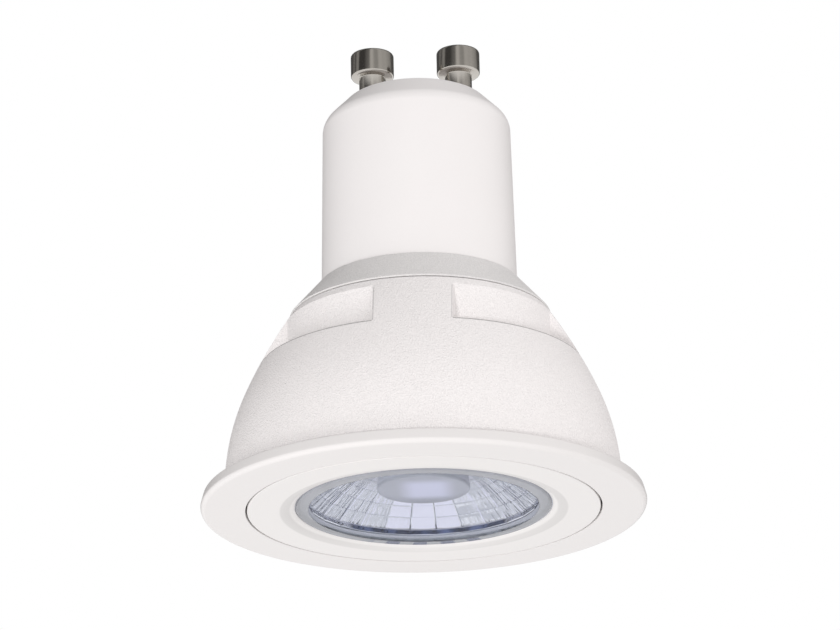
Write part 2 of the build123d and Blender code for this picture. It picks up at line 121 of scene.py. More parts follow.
class BaseSizes(PropertyGroup):
    foot_radius: length("Foot radius", reach("base_housing"), "Radius of the base where it meets the collar")
    top_radius: length("Top radius", 10.84 * MM, "Radius of the base at the foot of its chamfer")
    flat_radius: length("Roof radius", 8.0 * MM, "Radius of the flat roof round the pins")
    foot_height: length("Foot height", top("neck_collar"), "Height of the base's lower edge")
    chamfer_height: length("Chamfer height", 46.4 * MM, "Height of the foot of the chamfer")
    top_height: length("Top height", top("base_housing"), "Height of the flat roof")
    spigot_radius: length("Spigot radius", 10.3 * MM, "Radius of the part that plugs into the collar")
    bore_radius: length("Bore radius", 9.0 * MM, "Inner radius of the base")
    roof: length("Roof thickness", 2.0 * MM, "Thickness of the roof")
    shoulder_round: length("Shoulder round", 0.8 * MM, "Rounding where the chamfer starts")
    edge_round: length("Edge round", 0.3 * MM, "Rounding of the roof's edge")


class PinSizes(PropertyGroup):
    spacing: length("Spacing", 10.0 * MM, "Distance between the two contact pins")
    head_radius: length("Head radius", 2.5 * MM, "Radius of a pin's mushroom head")
    head_height: length("Head height", 3.0 * MM, "Thickness of a pin's head")
    neck_radius: length("Neck radius", 1.55 * MM, "Radius of a pin's neck")
    rivet_radius: length("Rivet radius", 2.1 * MM, "Radius of the riveted end below the roof")
    rivet_height: length("Rivet height", 0.8 * MM, "Thickness of the riveted end")
    tail_radius: length("Tail radius", 1.0 * MM, "Radius of the tail that takes the wire")
    edge_round: length("Edge round", 0.35 * MM, "Rounding of the head's edges")


class BellSizes(PropertyGroup):
    foot_radius: length("Foot radius", reach("bell_housing"), "Radius of the bell above the flange")
    waist_radius: length("Waist radius", 20.05 * MM, "Radius where the bell's two arcs meet")
    top_radius: length("Top radius", 14.9 * MM, "Radius of the bell at the collar")
    foot_height: length("Foot height", foot("bell_housing"), "Height of the bell's lower face")
    straight_height: length("Straight height", 2.5 * MM, "Height at which the outline starts to curve")
    waist_height: length("Waist height", 13.2 * MM, "Height where the bell's two arcs meet")
    bend_height: length("Bend height", 5.0 * MM, "Height at which the inner wall starts to lean in")
    top_height: length("Top height", top("bell_housing") - 0.1 * MM, "Height of the bell at the collar")
    wall: length("Wall", 1.3 * MM, "Thickness of the bell's wall")
    seam: length("Seam", 0.15 * MM, "Height of the seams below and above the bell")
    seam_depth: length("Seam depth", 0.5 * MM, "Depth of those seams")
    ledge_height: length("Ledge height", 16.5 * MM, "Height of the recesses' ledge")
    recess_radius: length("Recess radius", 15.5 * MM, "Radius of the recesses' inner wall")
    bridge_width: length("Bridge width", 8.8 * MM, "Width of the bell left standing between two recesses")
    recess_round: length("Recess round", 0.2 * MM, "Rounding of the recesses' edges")
    collar_bore: length("Collar bore", 12.6 * MM, "Radius of the hole for the collar")
    collar_radius: length("Collar radius", 11.45 * MM, "Radius of the collar's upper edge")
    collar_foot: length("Collar foot", foot("neck_collar"), "Height of the lower end of the collar's spigot")


class FrontSizes(PropertyGroup):
    flange_radius: length("Flange radius", reach("trim_ring"), "Radius of the front flange")
    flange_thickness: length("Flange thickness", foot("bell_housing"), "Thickness of the flange at the bell")
    flange_back_radius: length("Flange back radius", 24.7 * MM, "Radius of the flange's rear edge")
    rim_round: length("Rim round", 0.55 * MM, "Rounding of the flange's front edge")
    seam_radius: length("Seam radius", 20.0 * MM, "Radius of the seam round the bezel")
    seam_gap: length("Seam gap", 0.2 * MM, "Width of the seam round the bezel")
    sleeve_radius: length("Sleeve radius", 20.9 * MM, "Radius of the sleeve inside the bell")
    slope_radius: length("Slope radius", 16.3 * MM, "Outer radius of the bezel's sloped ring")
    slope_height: length("Slope height", 0.5 * MM, "Height of the bezel's slope at the lens")
    bezel_wall: length("Bezel wall", 0.95 * MM, "Wall of the bezel")
    lens_radius: length("Lens radius", 14.35 * MM, "Radius of the lens that shows")
    lens_bevel: length("Lens bevel", 0.2 * MM, "Width of the bevel on the lens")
    frosted_width: length("Frosted width", 1.45 * MM, "Width of the frosted ring at the lens's edge")
    lens_flange: length("Lens flange", 0.4 * MM, "Thickness of the flange that holds the lens")
    clearance: length("Clearance", 0.1 * MM, "Gap between the lens and the bezel")


class BowlSizes(PropertyGroup):
    rim_radius: length("Rim radius", 13.1 * MM, "Radius of the reflector's opening")
    neck_radius: length("Neck radius", 5.3 * MM, "Radius of the hole for the emitter")
    depth: length("Depth", 4.8 * MM, "Depth of the reflector from rim to neck")
    lip: length("Lip", 0.6 * MM, "Height of the upright lip at the rim")
    wall: length("Wall", 0.8 * MM, "Thickness of the reflector")
    flange: length("Flange", 0.7 * MM, "Thickness of the reflector's flange")
    optic_round: length("Optic round", 0.25 * MM, "Rounding of the primary lens's end")
    optic_land: length("Optic land", 0.5 * MM, "Height of the primary lens's upright edge")
    optic_foot: length("Optic foot", 4.6 * MM, "Radius of the primary lens at the emitter")
    facets: IntProperty(name="Facets", description="Facets in one row round the bowl", default=27)
    rows: IntProperty(name="Rows", description="Rows of facets from rim to neck", default=6)
    turn: angle("Turn", math.radians(6.67), "Angle of the first facet's edge")
    crown_inset: length("Crown inset", 0.1 * MM, "Width of the edge round each crowned facet")
    crown_height: length("Crown height", 0.05 * MM, "How far the middle of each facet stands proud")


class LampColours(PropertyGroup):
    base: colour("Base", (0.87, 0.845, 0.842), "Moulded plastic of the base")
    bell: colour("Bell", (0.905, 0.875, 0.872), "Fine-grained paint on the bell")
    collar: colour("Collar", (0.755, 0.74, 0.735), "Fine-grained paint on the collar")
    flange: colour("Flange", (0.80, 0.778, 0.772), "Satin plastic of the flange")
    bezel: colour("Bezel", (0.81, 0.79, 0.782), "Satin plastic of the bezel")
    metal: colour("Pins", (0.56, 0.53, 0.49), "Nickel plate on the pins")
    mirror: colour("Mirror", (0.80, 0.81, 0.86), "Metal coat in the reflector")
    # Painted dark reflection, shown on the far side of the reflector's upright lip only.
    lip: colour("Lip", (0.035, 0.045, 0.085), "Darker coat on the reflector's upright lip")
    optic: colour("Optic", (0.31, 0.32, 0.35), "Satin end of the primary lens")
    glow: colour("Emitter", (0.52, 0.53, 0.64), "Phosphor of the emitter")


class Wire:
    """One shader socket; arithmetic on it adds Math nodes, so that a pattern reads as a formula."""

    def __init__(self, shades, socket):
        self.shades = shades
        self.socket = socket

    def math(self, operation, *values):
        return self.shades.node("ShaderNodeMath", {"operation": operation}, dict(enumerate(values)))

    def __add__(self, other):
        return self.math("ADD", self, other)

    def __radd__(self, other):
        return self.math("ADD", other, self)

    def __sub__(self, other):
        return self.math("SUBTRACT", self, other)

    def __rsub__(self, other):
        return self.math("SUBTRACT", other, self)

    def __mul__(self, other):
        return self.math("MULTIPLY", self, other)

    def __rmul__(self, other):
        return self.math("MULTIPLY", other, self)

    def __truediv__(self, other):
        return self.math("DIVIDE", self, other)

    def __pow__(self, other):
        return self.math("POWER", self, other)

    def __gt__(self, other):
        return self.math("GREATER_THAN", self, other)

    def __lt__(self, other):
        return self.math("LESS_THAN", self, other)

    def __abs__(self):
        return self.math("ABSOLUTE", self)

    def wave(self, pitch):
        """A sine wave that repeats after each pitch."""
        return self.math("SINE", self * (2 * math.pi / pitch))

    def between(self, low, high):
        """0 below low, 1 above high, and a smooth step in between."""
        settings = {"interpolation_type": "SMOOTHSTEP"}
        return self.shades.node("ShaderNodeMapRange", settings, {0: self, 1: low, 2: high})


class Shades:
    """The nodes of one material or of the world."""

    def __init__(self, owner):
        owner.use_nodes = True
        self.owner = owner
        self.tree = owner.node_tree
        self.tree.nodes.clear()

    def node(self, kind, settings=None, inputs=None, output=0):
        """Adds a node, makes its settings, then fills or links its inputs, and gives one output."""
        made = self.tree.nodes.new(kind)
        for key, value in (settings or {}).items():
            if key == "stops":
                ramp = made.color_ramp.elements
                while len(ramp) < len(value):
                    ramp.new(1.0)
                for element, (place, tone) in zip(ramp, value):
                    element.position = place
                    element.color = tone
            else:
                setattr(made, key, value)
        for key, value in (inputs or {}).items():
            if isinstance(value, Wire):
                self.tree.links.new(value.socket, made.inputs[key])
            else:
                made.inputs[key].default_value = value
        return Wire(self, made.outputs[output]) if len(made.outputs) else made

    def place(self):
        """The object's own coordinates, in metres."""
        return self.node("ShaderNodeTexCoord", output="Object")

    def axes(self, vector):
        """The three parts of a vector."""
        split = self.node("ShaderNodeSeparateXYZ", None, {0: vector}).socket.node
        return [Wire(self, out) for out in split.outputs]

    def noise(self, size, detail=2.0, vector=None, stretch=None):
        """Noise from 0 to 1 whose blotches are about size metres across."""
        vector = vector or self.place()
        if stretch:
            vector = self.node("ShaderNodeMapping", None, {"Vector": vector, "Scale": stretch})
        return self.node("ShaderNodeTexNoise", None, {"Vector": vector, "Scale": 1 / size, "Detail": detail})

    def mix(self, factor, first, second):
        """A blend of two colours."""
        return self.node("ShaderNodeMix", {"data_type": "RGBA"}, {0: factor, 6: first, 7: second}, 2)

    def tint(self, base, amount):
        """A colour made lighter or darker by a factor that varies over the surface."""
        grey = self.node("ShaderNodeCombineColor", None, {0: amount, 1: amount, 2: amount})
        base = base if isinstance(base, Wire) else rgba(base)
        settings = {"data_type": "RGBA", "blend_type": "MULTIPLY"}
        return self.node("ShaderNodeMix", settings, {0: 1.0, 6: base, 7: grey}, 2)

    def bump(self, height, distance):
        """A bump whose full height is distance metres."""
        return self.node("ShaderNodeBump", None, {"Height": height, "Distance": distance})

    def principled(self, **inputs):
        """A Principled shader; an underscore stands for a space in an input's name."""
        named = {key.replace("_", " "): value for key, value in inputs.items()}
        return self.node("ShaderNodeBsdfPrincipled", None, named)

    def surface(self, shader):
        """Puts a shader on the material's output and gives the material."""
        self.node("ShaderNodeOutputMaterial", None, {"Surface": shader})
        return self.owner

    def finish(self, **inputs):
        """Ends a material that has one Principled shader."""
        return self.surface(self.principled(**inputs))


class Spot:
    """The place that is shaded, in metres: x, y, z, its distance from the axis and its angle about it."""

    def __init__(self, shades):
        self.x, self.y, self.z = shades.axes(shades.place())

    @property
    def radius(self):
        return (self.x * self.x + self.y * self.y) ** 0.5

    @property
    def angle(self):
        return self.x.math("ARCTAN2", self.y, self.x)


def rgba(tone):
    """A colour with full opacity."""
    return (*tone[:3], 1.0)


def new_finish(name):
    """The nodes of a new material."""
    return Shades(bpy.data.materials.new(name))


def moulded_plastic(name, tone, roughness, grain=0.25 * MM, relief=0.002 * MM, cove=None):
    """Smooth moulded plastic with a faint mottle, a fine grain and a soft gloss.
    Between the cove's two radii, if it has one, painted shade darkens the plastic a little, most at the left
    and right sides."""
    mottle = 0.02
    shades = new_finish(name)
    mottling = shades.noise(5 * MM, 3.0)
    fine = shades.noise(grain, 2.0)
    depth = 1 - mottle * (1 - mottling) - mottle * fine
    if cove:
        mouth, rim = cove
        spot = Spot(shades)
        radius = spot.radius
        # Painted shade in the cove, darkest at the left and right sides.
        past_mouth = radius.between(mouth + 0.4 * MM, mouth + 0.75 * MM)
        past_rim = radius.between(rim - 0.3 * MM, rim)
        depth = depth * (1 - past_mouth * (1 - past_rim) * (0.06 + 0.12 * abs(spot.x / radius)))
    return shades.finish(
        Base_Color=shades.tint(tone, depth),
        Roughness=roughness + 0.08 * (mottling - 0.5),
        Normal=shades.bump(fine, relief),
        Coat_Weight=0.15,
        Coat_Roughness=0.25,
    )


def grained_paint(name, tone, roughness, grain, relief, speckle, recesses=None):
    """White paint with a fine raised grain. Painted shade darkens a thin line on the edges of the recesses,
    if there are any, along the ledge and the bridges' edges: they are given as the ledge's height, the inner
    wall's radius and half a bridge."""
    shades = new_finish(name)
    grains = shades.noise(grain, 1.0)
    blotches = shades.noise(3 * MM, 2.0)
    amount = 1 - speckle * (0.5 - grains) - 0.02 * (1 - blotches)
    if recesses:
        ledge, inner, half = recesses
        spot = Spot(shades)
        z = spot.z
        beside_x = abs(spot.x).between(half, half + 0.1 * MM)
        beside_y = abs(spot.y).between(half, half + 0.1 * MM)
        below_ledge = z.between(ledge - 0.17 * MM, ledge - 0.12 * MM) * (z < ledge - 0.008 * MM)
        corner = half - 0.08 * MM
        off_x = abs(abs(spot.x) - corner).between(0.02 * MM, 0.07 * MM)
        off_y = abs(abs(spot.y) - corner).between(0.02 * MM, 0.07 * MM)
        # Painted shade: a thin dark line below the ledge between the bridges, and one up the bridges' edges
        # above it.
        ledge_shade_line = 0.5 * below_ledge * beside_x * beside_y
        bridge_edge_shade_line = 0.3 * (1 - off_x * off_y) * (z > ledge)
        outside = spot.radius.between(inner + 0.1 * MM, inner + 0.2 * MM)
        amount = amount * (1 - outside * (ledge_shade_line + bridge_edge_shade_line))
    return shades.finish(
        Base_Color=shades.tint(tone, amount),
        Roughness=roughness + 0.2 * (grains - 0.5),
        Normal=shades.bump(grains, relief),
    )


def plated_metal(name, tone, roughness):
    """Bright plated metal with fine turning lines round its axis."""
    shades = new_finish(name)
    lines = shades.noise(0.06 * MM, 2.0, stretch=(0.05, 0.05, 1.0))
    cloud = shades.noise(1.5 * MM, 2.0)
    return shades.finish(
        Base_Color=shades.tint(tone, 0.92 + 0.16 * cloud * lines),
        Metallic=1.0,
        Roughness=roughness + 0.12 * (cloud - 0.5) + 0.06 * (lines - 0.5),
        Normal=shades.bump(lines, 0.0006 * MM),
    )


def machined_metal(name, tone, roughness=0.38):
    """Plain machined metal with fine scratches across it."""
    shades = new_finish(name)
    scratches = shades.noise(0.2 * MM, 3.0, stretch=(1.0, 0.08, 1.0))
    return shades.finish(
        Base_Color=shades.tint(tone, 0.85 + 0.2 * scratches),
        Metallic=1.0,
        Roughness=roughness + 0.15 * (scratches - 0.5),
        Normal=shades.bump(scratches, 0.004 * MM),
    )


def clear_lens(name, ring_radius, reflection_radius, front, facets):
    """Clear moulded lens that lets the lamps' light through. Outside the ring's radius it is a cool
    frosted ring whose side wall is painted lighter, with a row of painted dark reflections on the far side,
    one to each facet of the bowl."""
    shades = new_finish(name)
    spot = Spot(shades)
    radius = spot.radius
    waves = shades.noise(6 * MM, 1.0)
    ring = radius.between(ring_radius - 0.05 * MM, ring_radius + 0.15 * MM)
    line = 1 - abs(radius - ring_radius).between(0.03 * MM, 0.16 * MM)
    wall = spot.z.between(front + 0.22 * MM, front + 0.3 * MM)
    # Painted dark reflections of the bowl's facets, on the far side only.
    far = spot.y.between(10 * MM, 12 * MM) * (1 - abs(spot.x).between(5 * MM, 8 * MM)) * (1 - wall)
    reflection_turn = 0.03
    reflection_dashes = (spot.angle + reflection_turn).wave(2 * math.pi / facets).between(-0.1, 0.1)
    facet_reflections = (radius > reflection_radius) * far * reflection_dashes
    # Painted light: the frosted side wall is made lighter.
    frosted = shades.tint((0.32, 0.33, 0.36), 0.9 + 0.2 * waves + 1.1 * wall)
    clear = shades.principled(
        Base_Color=shades.tint((0.96, 0.97, 0.99), 1 - 0.3 * line),
        Roughness=0.01 + 0.01 * waves,
        Transmission_Weight=1.0,
        IOR=1.02,
        Coat_Weight=0.15,
        Coat_Roughness=0.02,
    )
    frost = shades.principled(
        Base_Color=shades.mix(facet_reflections, frosted, rgba((0.055, 0.07, 0.15))),
        Roughness=0.2 + 0.1 * waves,
    )
    shadow = shades.node("ShaderNodeLightPath", output="Is Shadow Ray")
    way = shades.node("ShaderNodeBsdfTransparent", None, {"Color": rgba((0.95, 0.96, 0.98))})
    glass = shades.node("ShaderNodeMixShader", None, {0: 0.8 * ring, 1: clear, 2: frost})
    return shades.surface(shades.node("ShaderNodeMixShader", None, {0: shadow, 1: glass, 2: way}))


def satin_optic(name, tone, glow, end):
    """Satin end of a clear block, with the emitter's soft-edged patch showing through it."""
    shades = new_finish(name)
    spot = Spot(shades)
    patch_x = 0.4 * MM
    across = 1 - abs(spot.x - patch_x).between(1.2 * MM, 3.7 * MM)
    along = 1 - abs(spot.y).between(1.8 * MM, 4.2 * MM)
    cloud = shades.noise(1.2 * MM, 2.0)
    wall = spot.z.between(end + 0.2 * MM, end + 0.5 * MM)
    body = shades.tint(tone, 0.9 + 0.2 * cloud + 0.4 * wall)
    return shades.finish(
        Base_Color=shades.mix(across * along * (1 - wall), body, rgba(glow)),
        Roughness=0.28 + 0.1 * cloud,
        Normal=shades.bump(shades.noise(0.3 * MM, 2.0), 0.004 * MM),
        Coat_Weight=0.2,
    )


def mirror_coat(name, tone, shade, face, lip):
    """Metal coat on a moulded bowl, with fine ribs that run to the middle. It is rougher at both sides of
    the neck, with painted shade there and round the neck, and a painted dark reflection on the far side of
    the upright lip, between the face and the facets."""
    shades = new_finish(name)
    spot = Spot(shades)
    radius = spot.radius
    aside = abs(spot.x / radius)
    ribs_to_a_radian = 26
    rib_length = 3.5 * MM
    unrolled = {0: spot.angle * ribs_to_a_radian, 1: radius / rib_length, 2: 0.0}
    haze = shades.noise(2.5 * MM, 2.0)
    bright = 1 - (1 - radius.between(6.5 * MM, 10 * MM)) * aside.between(0.35, 0.6)
    ribs = shades.noise(1.0, 2.0, shades.node("ShaderNodeCombineXYZ", None, unrolled))
    ribs = ribs * (0.12 + aside.between(0.35, 0.8)) * (spot.z > face + lip) * bright
    # Painted shade: the coat is darker at both sides of the neck and all round it.
    neck = 1 - radius.between(5.5 * MM, 8.5 * MM)
    coat = shades.tint(tone, (0.64 + 0.08 * haze + 0.32 * bright) * (1 - 0.12 * neck))
    # Painted dark reflection: on the far side the upright lip loses its metal and takes the dark lip colour.
    far = (spot.y > 0) * (1 - abs(spot.x).between(8.5 * MM, 9.5 * MM))
    upright = (spot.z > face + 0.05 * MM) * (spot.z < face + lip - 0.04 * MM) * far
    dark = shades.mix(haze.between(0.45, 0.65), rgba(shade), rgba([3 * part for part in shade]))
    return shades.finish(
        Base_Color=shades.mix(upright, coat, dark),
        Metallic=1 - upright,
        Roughness=0.06 + 0.06 * haze + 0.35 * (1 - bright),
        Normal=shades.bump(ribs, 0.19 * MM),
    )


def phosphor(name, tone):
    """Pale phosphor with a brighter square middle over the chips, and a painted glow that is brightest
    there.
    """
    shades = new_finish(name)
    spot = Spot(shades)
    side = 2.35 * MM
    across = 1 - abs(spot.x).between(side - 0.4 * MM, side + 0.5 * MM)
    along = 1 - abs(spot.y).between(side - 0.4 * MM, side + 0.5 * MM)
    patch = across * along
    grain = shades.noise(0.15 * MM, 2.0)
    return shades.finish(
        Base_Color=shades.mix(patch, shades.tint(tone, 0.94 + 0.08 * grain), rgba((0.84, 0.85, 0.95))),
        Roughness=0.35 + 0.1 * grain,
        Normal=shades.bump(grain, 0.003 * MM),
        # Painted glow: the emitter is not lit, but gives off a faint light, more over the chips.
        Emission_Color=shades.mix(patch, rgba((0.16, 0.17, 0.2)), rgba((0.5, 0.5, 0.62))),
        Emission_Strength=0.6,
    )


def soft_rubber(name, tone):
    """Matt rubber or silicone with a fine grain."""
    shades = new_finish(name)
    grain = shades.noise(0.12 * MM, 3.0)
    return shades.finish(
        Base_Color=shades.tint(tone, 0.9 + 0.15 * grain),
        Roughness=0.7 + 0.1 * grain,
        Normal=shades.bump(grain, 0.01 * MM),
    )


def laminate(name, tone):
    """Circuit board: solder mask over a glass weave that just shows."""
    shades = new_finish(name)
    spot = Spot(shades)
    weave = spot.x.wave(0.4 * MM) * spot.z.wave(0.4 * MM)
    cloud = shades.noise(1.2 * MM, 2.0)
    return shades.finish(
        Base_Color=shades.tint(tone, 0.9 + 0.06 * weave + 0.1 * cloud),
        Roughness=0.35 + 0.1 * cloud,
        Normal=shades.bump(weave, 0.004 * MM),
        Coat_Weight=0.3,
    )


def wound_tape(name, tone):
    """Yellow tape over a winding, with the turns showing through."""
    shades = new_finish(name)
    turns = Spot(shades).z.wave(0.35 * MM)
    return shades.finish(
        Base_Color=shades.tint(tone, 0.9 + 0.07 * turns),
        Roughness=0.35 + 0.05 * turns,
        Normal=shades.bump(turns, 0.02 * MM),
    )


def sintered(name, tone):
    """Dark sintered ferrite with fine pits."""
    shades = new_finish(name)
    pits = shades.noise(0.18 * MM, 4.0)
    return shades.finish(
        Base_Color=shades.tint(tone, 0.8 + 0.35 * pits),
        Roughness=0.6 + 0.15 * pits,
        Normal=shades.bump(pits, 0.02 * MM),
    )


def deselect_all():
    """Leaves edit mode and clears the selection."""
    if bpy.context.object and bpy.context.object.mode != "OBJECT":
        bpy.ops.object.mode_set(mode="OBJECT")
    bpy.ops.object.select_all(action="DESELECT")


def ring_of_points(name, radius, height, steps, turn):
    """A circle of vertices about the axis, its first one at the angle turn from +X, in edit mode."""
    deselect_all()
    bpy.ops.mesh.primitive_circle_add(
        vertices=steps, radius=radius, location=(0, 0, height), rotation=(0, 0, turn - QUARTER_TURN)
    )
    bpy.ops.object.transform_apply(location=True, rotation=True, scale=True)
    piece = bpy.context.object
    piece.name = name
    piece.data.name = name
    bpy.ops.object.mode_set(mode="EDIT")
    bpy.ops.mesh.select_mode(type="EDGE")
    bpy.ops.mesh.select_all(action="SELECT")
    return piece


def draw_ring_on(start, end):
    """Extrudes the selected ring from one (radius, height) to the next."""
    rise = (0, 0, end[1] - start[1])
    share = end[0] / start[0]
    bpy.ops.mesh.extrude_region_move(TRANSFORM_OT_translate={"value": rise})
    if share != 1.0:
        bpy.ops.transform.resize(value=(share, share, 1), center_override=(0, 0, end[1]))


def close_mesh():
    """Merges what lies together and turns every face outwards."""
    bpy.ops.mesh.select_all(action="SELECT")
    bpy.ops.mesh.remove_doubles(threshold=MERGE)
    bpy.ops.mesh.normals_make_consistent(inside=False)
    bpy.ops.mesh.select_all(action="DESELECT")


def turned(name, outline, steps=ROUND_STEPS, turn=0.0):
    """A turned piece: a ring drawn round its outline of (radius, height), left in edit mode.
    The outline closes on itself, or starts and ends on the axis."""
    on_axis = outline[0][0] == 0
    stations = outline[1:] if on_axis else outline + outline[:1]
    piece = ring_of_points(name, *stations[0], steps, turn)
    for start, end in zip(stations, stations[1:]):
        draw_ring_on(start, end)
    if on_axis:
        select_edges(piece, lambda p: on_ring(p, stations[0]))
        draw_ring_on(stations[0], outline[0])
    close_mesh()
    return piece


def on_ring(point, ring):
    """Whether a point lies on a ring of (radius, height)."""
    return abs(math.hypot(point.x, point.y) - ring[0]) < MERGE and abs(point.z - ring[1]) < MERGE


def select_edges(piece, wanted):
    """Selects the edges whose two ends are both wanted."""
    mesh = bmesh.from_edit_mesh(piece.data)
    for edge in mesh.edges:
        edge.select_set(all(wanted(vertex.co) for vertex in edge.verts))
    mesh.select_flush_mode()
    bmesh.update_edit_mesh(piece.data)


def select_faces(piece, wanted):
    """Selects the faces that are wanted, by their middle and normal."""
    mesh = bmesh.from_edit_mesh(piece.data)
    for face in mesh.faces:
        face.select_set(wanted(face.calc_center_median(), face.normal))
    mesh.select_flush_mode()
    bmesh.update_edit_mesh(piece.data)


def round_rings(piece, rings, width, segments):
    """Rounds the circular edges that lie on the given rings of (radius, height)."""
    bpy.ops.mesh.select_mode(type="EDGE")
    for ring in rings:
        select_edges(piece, lambda p: on_ring(p, ring))
        bpy.ops.mesh.bevel(offset=width, segments=segments, affect="EDGES", clamp_overlap=True)
    bpy.ops.mesh.select_all(action="DESELECT")


def tangent_arc(start, along, end, steps):
    """Points on the arc that leaves start along a direction and stops at end, and its last direction."""
    start, along, end = Vector(start), Vector(along).normalized(), Vector(end)
    side = Vector((-along.y, along.x))
    chord = end - start
    radius = chord.length_squared / (2 * chord.dot(side))
    centre = start + side * radius
    spoke = start - centre
    sweep = 2 * math.atan2(chord.dot(side), chord.dot(along))
    turns = [Matrix.Rotation(sweep * step / steps, 2) for step in range(1, steps + 1)]
    return [tuple(centre + turn @ spoke) for turn in turns], tuple(turns[-1] @ along)


def dress(piece, material, node):
    """Ends a piece's making: smooth faces, its finish, its body, and the CAD node it stands for."""
    deselect_all()
    piece.select_set(True)
    bpy.context.view_layer.objects.active = piece
    bpy.ops.object.shade_smooth_by_angle(angle=SMOOTH_ANGLE)
    weigh_normals(piece)
    piece.data.materials.append(material)
    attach(piece, BODY)
    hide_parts(node)


def weigh_normals(piece):
    """Keeps large flat faces flat beside small rounded ones."""
    bpy.ops.object.modifier_add(type="WEIGHTED_NORMAL")
    piece.modifiers[-1].keep_sharp = True
    bpy.ops.object.modifier_apply(modifier=piece.modifiers[-1].name)


class LAMP_OT_base_housing(Operator):
    """Models the base: a slightly drafted cup with a chamfered roof"""

    bl_idname = "lamp.base_housing"
    bl_label = "Base housing"

    def execute(self, context):
        s = context.scene.lamp_base
        tones = context.scene.lamp_colours
        bell = context.scene.lamp_bell
        roof_edge = (s.flat_radius, s.top_height)
        shoulder = (s.top_radius, s.chamfer_height)
        foot_edge = (s.foot_radius, s.foot_height)
        ceiling = s.top_height - s.roof
        outline = [
            (0.0, s.top_height),
            roof_edge,
            shoulder,
            foot_edge,
            (s.spigot_radius, s.foot_height),
            (s.spigot_radius, foot("base_housing")),
            (s.bore_radius, foot("base_housing")),
            (s.bore_radius, ceiling),
            (0.0, ceiling),
        ]
        piece = turned("base_shell", outline)
        round_rings(piece, [shoulder], s.shoulder_round, 6)
        round_rings(piece, [roof_edge], s.edge_round, 4)
        round_rings(piece, [foot_edge], bell.seam, 3)
        finish = moulded_plastic("moulded_base", tones.base, 0.42)
        dress(piece, finish, "base_housing")
        return {"FINISHED"}


class LAMP_OT_contact_pins(Operator):
    """Models the two contact pins with their mushroom heads"""

    bl_idname = "lamp.contact_pins"
    bl_label = "Contact pins"

    def execute(self, context):
        s = context.scene.lamp_pins
        tones = context.scene.lamp_colours
        ceiling = top("base_housing") - context.scene.lamp_base.roof
        tip = top("contact_pin_left")
        tail = foot("contact_pin_left")
        head_foot = tip - s.head_height
        crown = (s.head_radius, tip)
        brim = (s.head_radius, head_foot)
        root = (s.neck_radius, head_foot)
        outline = [
            (0.0, tip),
            crown,
            brim,
            root,
            (s.neck_radius, ceiling),
            (s.rivet_radius, ceiling),
            (s.rivet_radius, ceiling - s.rivet_height),
            (s.tail_radius, ceiling - s.rivet_height),
            (s.tail_radius, tail),
            (0.0, tail),
        ]
        pin = turned("pin_left", outline)
        round_rings(pin, [crown, brim], s.edge_round, 5)
        round_rings(pin, [root], s.edge_round / 4, 2)
        bpy.ops.mesh.select_all(action="SELECT")
        bpy.ops.transform.translate(value=(-s.spacing / 2, 0, 0))
        bpy.ops.object.mode_set(mode="OBJECT")
        bpy.ops.object.duplicate()
        twin = bpy.context.object
        twin.name = "pin_right"
        twin.data.name = "pin_right"
        bpy.ops.object.mode_set(mode="EDIT")
        bpy.ops.mesh.select_all(action="SELECT")
        bpy.ops.transform.translate(value=(s.spacing, 0, 0))
        finish = plated_metal("nickel_plate", tones.metal, 0.16)
        dress(pin, finish, "contact_pin_left")
        dress(twin, finish, "contact_pin_right")
        return {"FINISHED"}


class LAMP_OT_neck_collar(Operator):
    """Models the conical shoulder between the bell and the base"""

    bl_idname = "lamp.neck_collar"
    bl_label = "Neck collar"

    def execute(self, context):
        s = context.scene.lamp_bell
        tones = context.scene.lamp_colours
        gap = context.scene.lamp_front.clearance
        bore = context.scene.lamp_base.spigot_radius + gap
        lip_foot = (s.top_radius - s.seam / 2, s.top_height + s.seam)
        lip_top = (s.top_radius, s.top_height + 2 * s.seam)
        crown = (s.collar_radius, top("neck_collar"))
        outline = [
            lip_foot,
            lip_top,
            crown,
            (bore, top("neck_collar")),
            (bore, s.collar_foot),
            (s.collar_bore - gap, s.collar_foot),
            (s.collar_bore - gap, s.top_height),
            (s.top_radius - s.seam_depth, s.top_height),
            (s.top_radius - s.seam_depth, s.top_height + s.seam),
        ]
        piece = turned("collar_cone", outline)
        round_rings(piece, [lip_top], s.seam / 4, 2)
        round_rings(piece, [crown], s.seam, 3)
        finish = grained_paint(
            "collar_paint", tones.collar, roughness=0.55, grain=0.17 * MM, relief=0.06 * MM, speckle=0.3
        )
        dress(piece, finish, "neck_collar")
        return {"FINISHED"}


